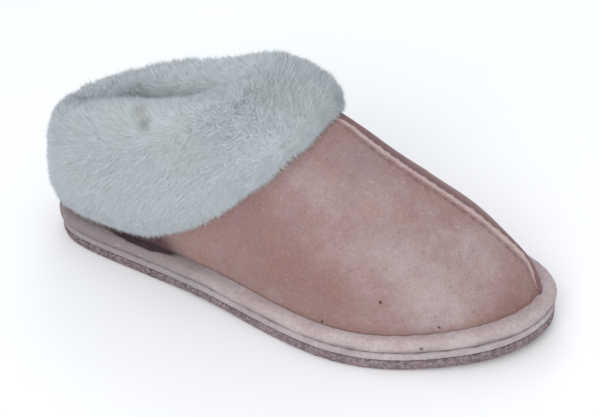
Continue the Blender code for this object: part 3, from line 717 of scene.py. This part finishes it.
for side in (-1, 1):
    for which, turn, slot in (("outer", side < 0, 0), ("inner", side > 0, 1)):
        g = index[which, side]
        q = np.stack([g[:-1, :-1], g[1:, :-1], g[1:, 1:], g[:-1, 1:]], -1).reshape(-1, 4)
        quads.append(q if turn else q[:, ::-1])
        slots.append(np.full(len(q), slot))
    o, i = index["outer", side], index["inner", side]
    q = np.stack([o[:-1, 0], i[:-1, 0], i[1:, 0], o[1:, 0]], -1)
    quads.append(q if side < 0 else q[:, ::-1])
    slots.append(np.zeros(len(q)))
    k = slice(0, THROAT_I)
    k1 = slice(1, THROAT_I + 1)
    q = np.stack([o[k, -1], o[k1, -1], i[k1, -1], i[k, -1]], -1)
    quads.append(q if side < 0 else q[:, ::-1])
    slots.append(np.ones(len(q)))
add_piece("suede_upper", make_mesh("suede_upper", np.concatenate(points), np.concatenate(quads), slots=np.concatenate(slots),
                                   fields={k: np.concatenate(v) for k, v in fields.items()}),
          [SUEDE, FLEECE], ["upper"])

# overcast stitches along the vamp's seam: short loops of thread that cross the ridge
lo, hi = grids[-1]["outer"], grids[1]["outer"]
pts, faces = [], []
total = 0
first = int(np.searchsorted(SHARES, 0.585))
last = int(np.searchsorted(SHARES, 0.985))
for s in np.arange(SEAM_RUN[first], SEAM_RUN[last], STITCH):
    f = float(np.interp(s, SEAM_RUN, np.arange(n)))
    i = min(int(f), n - 2)
    u = f - i
    rib = [g[i] * (1 - u) + g[i + 1] * u for g in (lo, hi)]
    drift = 0.7 * unit(spine_pts[min(i + 2, n - 1)] - spine_pts[i])
    from_low = [rib[0][LOW_ROWS + k] for k in (9, 11, 12, 13, 14, 16)]
    to_high = [rib[1][LOW_ROWS + k] for k in (14, 13, 12, 11, 9)]
    line = np.array(from_low + to_high)
    up = np.array([0.42, 0, 0.91])
    h = 0.20 * np.sin(np.pi * np.arange(len(line)) / (len(line) - 1)) - 0.26
    line = line + up * h[:, None] + drift * np.linspace(-1, 1, len(line))[:, None]
    along = unit(np.gradient(line, axis=0))
    a = unit(np.cross(along, np.array([1.0, 0.2, 0.1])))
    b = np.cross(along, a)
    radius = 0.15 * np.sqrt(np.sin(np.pi * np.clip(np.linspace(0.06, 0.94, len(line)), 0, 1)))
    ring = 8
    ang = 2 * np.pi * np.arange(ring) / ring
    tube = line[:, None] + radius[:, None, None] * (np.cos(ang)[None, :, None] * a[:, None] + np.sin(ang)[None, :, None] * b[:, None])
    k = np.arange(ring)
    for r in range(len(line) - 1):
        faces.append(np.stack([total + r * ring + k, total + r * ring + (k + 1) % ring,
                               total + (r + 1) * ring + (k + 1) % ring, total + (r + 1) * ring + k], 1))
    e = total + (len(line) - 1) * ring
    faces.append(np.array([[total + 3, total + 2, total + 1, total], [total + 7, total + 4, total + 3, total + 0],
                           [total + 6, total + 5, total + 4, total + 7],
                           [e, e + 1, e + 2, e + 3], [e + 0, e + 3, e + 4, e + 7], [e + 7, e + 4, e + 5, e + 6]]))
    pts.append(tube.reshape(-1, 3))
    total += tube.shape[0] * ring
add_piece("seam_stitches", make_mesh("seam_stitches", np.concatenate(pts), np.concatenate(faces)), [THREAD])


# ------------------------------------------------------------------ wool cuff
def collar_run(side, r):
    d = np.maximum(np.minimum(0.004, np.minimum(r, 1 - r)), 1e-5)
    a, b = np.clip(r - d, 0, 1) * THROAT, np.clip(r + d, 0, 1) * THROAT
    way = skin(side, b, collar_level(b)) - skin(side, a, collar_level(a))
    ends = (r < 1e-6) | (r > 1 - 1e-6)
    sign = np.where(r < 0.5, 1.0, -1.0) * side
    return np.where(ends[:, None], np.stack([0 * r, sign, 0 * r], -1), way)


def cuff_place(r, v):
    top, low = column(COLLAR, r, 1), column(CUFF_EDGE, r, 1)
    return r * (THROAT + v * (CUFF_END - THROAT)), top + v * (low - top)


SHORT = {}


def cuff_at(side, r, v):
    """A place on the skin under the cuff; the wool's lower edge is drawn up a little, most of all along the vamp."""
    if side not in SHORT:
        path = np.stack([skin(side, *cuff_place(r, np.full_like(r, k / 8))) for k in range(9)], 1)
        long = np.linalg.norm(np.diff(path, axis=1), axis=2).sum(1)
        SHORT[side] = 1 - (2.2 * step(0.40, 0.62, r) - 1.0 + 3.2 * step(0.70, 0.85, r) * (1 - 0.8 * step(0.95, 1.0, r))) / long
    share, level = cuff_place(r, v * SHORT[side])
    return skin(side, share, level), skin_normal(side, share, level)


PSI = np.pi * (1 - np.linspace(0, 1, 19))
DOWN = np.linspace(0, 1, 30)[1:]


def cuff_lines(side, r, out_k, in_k, crown_k, hang):
    """The wool's surface over each section, from inside the collar over the crown to the lower edge outside."""
    deep_out, deep_in, crown = (column(WOOL, r, k)[:, None] for k in (1, 2, 3))
    rim, rim_n = cuff_at(side, r, 0.0)
    over = unit(np.cross(collar_run(side, r), rim_n) * side)
    path = np.stack([cuff_at(side, r, k / 10)[0] for k in range(11)], 1)
    long = np.linalg.norm(np.diff(path, axis=1), axis=2).sum(1)
    v_in = np.minimum(CUFF_INSIDE / long, 0.6)
    lines = []
    for share, depth in ((1.06, 0.45), (1.0, 0.72), (0.83, 0.84), (0.66, 0.92), (0.5, 0.97), (0.33, 1.0), (0.16, 1.0)):
        p, nn = cuff_at(side, r, share * v_in)
        lines.append(p - nn * (WALL + CUFF_GAP + deep_in * in_k * depth))
    half = 0.5 * (deep_out * out_k + WALL + deep_in * in_k)
    centre = rim + rim_n * (0.5 * (deep_out * out_k - WALL - deep_in * in_k))
    for psi in PSI:
        lines.append(centre + rim_n * half * math.cos(psi) + over * crown * crown_k * math.sin(psi))
    for v in DOWN:
        p, nn = cuff_at(side, r, v)
        lines.append(p + nn * deep_out * out_k * float(column(WOOL_FALL, v, 1)))
    p, nn = cuff_at(side, r, 1.0)
    q, _ = cuff_at(side, r, 0.95)
    down = unit(p - q)
    lines.append(p + nn * deep_out * 0.42 * out_k + down * hang)
    lines.append(p + nn * deep_out * 0.18 * out_k + down * hang * 0.8)
    return np.stack(lines, 1)


def under_lines(side, r):
    """The skin side of the cuff, from the lower edge outside, over the collar, to its inside."""
    rim, rim_n = cuff_at(side, r, 0.0)
    over = unit(np.cross(collar_run(side, r), rim_n) * side)
    path = np.stack([cuff_at(side, r, k / 10)[0] for k in range(11)], 1)
    long = np.linalg.norm(np.diff(path, axis=1), axis=2).sum(1)
    v_in = np.minimum(CUFF_INSIDE / long, 0.6)
    lines = [(lambda pn: pn[0] + pn[1] * CUFF_GAP)(cuff_at(side, r, v)) for v in np.linspace(1, 0, 14)]
    lines.append(rim + rim_n * CUFF_GAP + over * CUFF_GAP)
    lines.append(rim - rim_n * (WALL + CUFF_GAP) + over * CUFF_GAP)
    lines += [(lambda pn: pn[0] - pn[1] * (WALL + CUFF_GAP))(cuff_at(side, r, k * v_in)) for k in (0.33, 0.66, 1.0)]
    return np.stack(lines, 1)


def ring_of(make, *args):
    r = 1 - (1 - np.linspace(0, 1, 150)) ** 1.35
    a, b = make(-1, r, *args), make(1, r, *args)
    ring = np.concatenate([a, b[-2:0:-1]])
    for _ in range(4):
        ring = 0.25 * np.roll(ring, 1, 0) + 0.5 * ring + 0.25 * np.roll(ring, -1, 0)
    return ring


def relax(grid, passes):
    """Evens the grid's lines out across the cuff; its two edges stay where they are."""
    for _ in range(passes):
        grid = grid.copy()
        grid[:, 1:-1] = 0.25 * grid[:, :-2] + 0.5 * grid[:, 1:-1] + 0.25 * grid[:, 2:]
    return grid


def close_mouth(grid, share):
    """Leans the wool on the inside of the collar over the opening, towards the line along its middle."""
    lean = np.concatenate([(0.15, 0.4, 0.65, 0.85, 1.0, 1.0, 1.0), np.clip(-np.cos(PSI), 0, 1), np.zeros(grid.shape[1] - 7 - len(PSI))])
    middle = np.stack([78 + 20 * np.tanh((grid[..., 0] - 78) / 20), np.full(grid.shape[:2], -2.0), grid[..., 2]], -1)
    taper = 1 + 0.6 * np.clip(np.abs(grid[..., :1] - 78) / 34, 0, 1) ** 2
    return grid + (middle - grid) * taper * (share * lean)[None, :, None]


def raise_crown(grid, heel, near):
    """Lifts the crown round the heel and along the outer side, where the wool stands up most."""
    weight = np.concatenate([np.linspace(0, 0.6, 7), 0.6 + 0.4 * np.sin(PSI), 0.6 * (1 - step(0, 0.55, DOWN)), [0, 0]])
    x, y = grid[..., 0], grid[..., 1]
    up = heel * np.exp(-((x - 16) / 24) ** 2) + near * np.exp(-((x - 56) / 42) ** 2) * (1 - 0.70 * step(-22, 10, y))
    grid = grid.copy()
    grid[..., 2] += up * weight[None]
    return grid


CORE = relax(close_mouth(raise_crown(ring_of(cuff_lines, 0.69, 0.85, 0.75, 0.6), 3.0, 5.8), 0.05), 8)
FULL = relax(close_mouth(raise_crown(ring_of(cuff_lines, 1.0, 1.15, 1.04, 3.0), 3.8, 7.2), 0.21), 8)
UNDER = ring_of(under_lines)

# small dent in the near side of the crown
DENT = np.array([81.3, -32.9, 86.6])
dent = np.exp(-(np.linalg.norm(FULL - DENT, axis=-1) / 4.6) ** 2)

loop = np.concatenate([CORE, UNDER], 1)
a, b = loop.shape[:2]
i, j = np.meshgrid(np.arange(a), np.arange(b), indexing="ij")
at = lambda i, j: (i % a) * b + (j % b)
quads = np.stack([at(i, j), at(i + 1, j), at(i + 1, j + 1), at(i, j + 1)], -1).reshape(-1, 4)
core_me = make_mesh("wool_backing", loop, quads,
                    fields={"tone": np.full(a * b, 0.35), "warm": np.zeros(a * b), "shade": np.zeros(a * b)})
add_piece("wool_backing", core_me, [SHADED_WOOL_CORE], ["wool_cuff"])

# strands: from the backing to the cuff's full depth, sampled evenly over its surface
nw = FULL.shape[1]
N_IN, N_CROWN = 7, len(PSI)
du = np.roll(FULL, -1, 0) - np.roll(FULL, 1, 0)
dw = np.gradient(FULL, axis=1)
FULL_N = unit(np.cross(du, dw))
outward = unit(FULL - CORE)
FULL_N = FULL_N * np.sign((FULL_N * outward).sum(-1, keepdims=True))
DOWN_W = unit(dw)


def bilinear(grid, i, j, u, w):
    i1 = (i + 1) % grid.shape[0]
    u, w = u.reshape((-1,) + (1,) * (grid.ndim - 2)), w.reshape((-1,) + (1,) * (grid.ndim - 2))
    return (grid[i, j] * (1 - u) * (1 - w) + grid[i1, j] * u * (1 - w) + grid[i, j + 1] * (1 - u) * w + grid[i1, j + 1] * u * w)


cell = np.linalg.norm(np.cross(np.roll(FULL, -1, 0) - FULL, np.roll(FULL, -1, 1) - FULL), axis=-1)[:, :-1]


def scatter(count, rows):
    w = np.zeros_like(cell)
    w[:, rows] = cell[:, rows]
    cum = np.cumsum(w.ravel())
    k = np.arange(count)
    pick = np.searchsorted(cum, (k + RNG.uniform(0, 1, count)) / count * cum[-1])
    u, v = (k * 0.7548776662 + RNG.uniform(0, 0.3, count)) % 1.0, (k * 0.5698402910 + RNG.uniform(0, 0.3, count)) % 1.0
    return pick // cell.shape[1], pick % cell.shape[1], u, v


def strands(name, root, tip, width, normal, tone, warm, shade):
    """Closed three-sided spikes, one for each root and tip."""
    k = len(root)
    d = unit(tip - root)
    side = unit(np.cross(d, RNG.normal(size=(k, 3))))
    other = np.cross(d, side)
    verts = np.empty((k, 4, 3))
    for c in range(3):
        ang = 2 * np.pi * c / 3
        verts[:, c] = root + width[:, None] * (math.cos(ang) * side + math.sin(ang) * other)
    verts[:, 3] = tip
    base = 4 * np.arange(k)[:, None]
    tris = np.concatenate([base + np.array([[0, 1, 3]]), base + np.array([[1, 2, 3]]), base + np.array([[2, 0, 3]]),
                           base + np.array([[2, 1, 0]])], 0)
    at4 = lambda low, high: np.stack([low, low, low, high], 1)
    me = make_mesh(name, verts, tris=tris, fields={"tone": at4(tone - 0.45, tone), "warm": at4(warm, warm), "shade": at4(shade, shade)})
    me.normals_split_custom_set_from_vertices(unit(np.repeat(normal, 4, 0)).tolist())
    return add_piece(name, me, [WOOL_MAT])


def grow(name, count, rows, comb, jitter, reach, width, sink=1.2, cream=0.0, lock=0.26):
    i, j, u, w = scatter(count, rows)
    root, tip = bilinear(CORE, i, j, u, w), bilinear(FULL, i, j, u, w)
    nrm, down = unit(bilinear(FULL_N, i, j, u, w)), unit(bilinear(DOWN_W, i, j, u, w))
    shaded_hollow = bilinear(dent, i, j, u, w)
    sway = np.stack([waves(tip, 6.5, 40 + k) for k in range(3)], -1) * (lock * (1 + 0.9 * step(-4, 20, tip[:, 1])))[:, None]
    long = RNG.uniform(*reach, count) * (1 + 0.05 * waves(tip, 9, 44)) * (1 - 0.55 * shaded_hollow)
    tip = root + (tip - root) * long[:, None] + down * (comb * RNG.uniform(0.5, 1.5, count))[:, None]
    tip = tip + RNG.normal(size=(count, 3)) * jitter + sway
    root = root - unit(tip - root) * sink
    tone = np.clip(RNG.normal(0.75, 0.12, count), 0.3, 1.15)
    above = np.exp(-(np.linalg.norm(tip - (DENT + np.array([-4.5, 3.0, 3.5])), axis=-1) / 5.2) ** 2)
    nrm = unit(nrm + (0.26 + 0.12 * step(-4, 20, tip[:, 1]))[:, None] * unit(np.cross(tip - root, RNG.normal(size=(count, 3)))))
    strands(name, root, tip, RNG.uniform(*width, count), nrm, tone, 0.75 * above + cream, np.clip(0.85 * shaded_hollow, 0, 1))


crown_rows = slice(N_IN, N_IN + N_CROWN)
out_rows = slice(N_IN + N_CROWN, nw - 6)
lip_rows = slice(nw - 7, nw - 1)
grow("wool_crown_a", 44000, crown_rows, 0.2, 0.50, (0.84, 1.05), (0.18, 0.28), lock=0.36)
grow("wool_crown_b", 25000, crown_rows, 0.4, 0.85, (0.90, 1.12), (0.14, 0.22), lock=0.42)
grow("wool_side_a", 44000, out_rows, 0.7, 0.50, (0.84, 1.05), (0.18, 0.28))
grow("wool_side_b", 24000, out_rows, 1.0, 0.75, (0.90, 1.12), (0.14, 0.22))
grow("wool_hem", 32000, lip_rows, 0.9, 0.75, (0.70, 1.15), (0.11, 0.18))
grow("wool_inside", 18000, slice(2, N_IN + 4), -0.4, 1.2, (0.70, 1.30), (0.20, 0.32), cream=0.15, lock=0.5)


# ------------------------------------------------------------------ floor, light, camera
def floor():
    s = Shade("floor", 0.9, specular=0.1)
    base = s.mix(s.band(s.noise(3, 2, 0.5), 0.3, 0.7), lin(253, 253, 253), lin(250, 250, 251))
    mat = s.colour(base)
    me = bpy.data.meshes.new("floor")
    r = 4.0
    me.from_pydata([(-r, -r, -0.0002), (r, -r, -0.0002), (r, r, -0.0002), (-r, r, -0.0002)], [], [(0, 1, 2, 3)])
    me.materials.append(mat)
    ob = bpy.data.objects.new("floor", me)
    bpy.context.scene.collection.objects.link(ob)


floor()

world = bpy.data.worlds.new("studio")
world.use_nodes = True
world.node_tree.nodes["Background"].inputs["Color"].default_value = (0.93, 0.96, 1.0, 1.0)
world.node_tree.nodes["Background"].inputs["Strength"].default_value = 0.75
bpy.context.scene.world = world


def area(name, at, target, size, power, colour=(1, 1, 1)):
    light = bpy.data.lights.new(name, "AREA")
    light.shape = "DISK"
    light.size = size
    light.energy = power
    light.color = colour
    ob = bpy.data.objects.new(name, light)
    ob.location = at
    ob.rotation_euler = (Vector(target) - Vector(at)).to_track_quat("-Z", "Y").to_euler()
    bpy.context.scene.collection.objects.link(ob)


area("key", (0.26, -1.12, 0.85), (0.02, 0, 0.03), 0.9, 8.8, (1.0, 0.99, 0.98))
area("top", (0.25, -0.05, 1.4), (0.02, 0, 0.03), 1.0, 1.4, (0.97, 0.99, 1.0))
area("fill", (-0.55, 1.05, 0.95), (0.0, 0, 0.04), 0.8, 3.0, (0.98, 0.99, 1.0))

bpy.context.scene.view_settings.view_transform = "Standard"
bpy.context.scene.view_settings.look = "None"

az, el, roll = math.radians(29.65), math.radians(36.39), math.radians(-3.34)
back = np.array([math.sin(az) * math.cos(el), -math.cos(az) * math.cos(el), math.sin(el)])
right = np.array([math.cos(az), math.sin(az), 0.0])
up = np.cross(back, right)
right, up = math.cos(roll) * right + math.sin(roll) * up, -math.sin(roll) * right + math.cos(roll) * up
eye = np.array([179.29, -24.24, 40.0]) + back * 555.26
look = np.array([153.26, -25.65, 55.82])
back = unit(eye - look)
right = unit(right - (right @ back) * back)
up = np.cross(back, right)
cam = bpy.data.cameras.new("camera")
cam.sensor_width = 36.0
cam.lens = 1.12 * 1155.39 / 599 * 36.0
cam.clip_start = 0.01
ob = bpy.data.objects.new("camera", cam)
m = np.eye(4)
m[:3, 0], m[:3, 1], m[:3, 2], m[:3, 3] = right, up, back, (eye - ORIGIN) * MM
ob.matrix_world = Matrix(m.tolist())
bpy.context.scene.collection.objects.link(ob)
bpy.context.scene.camera = ob
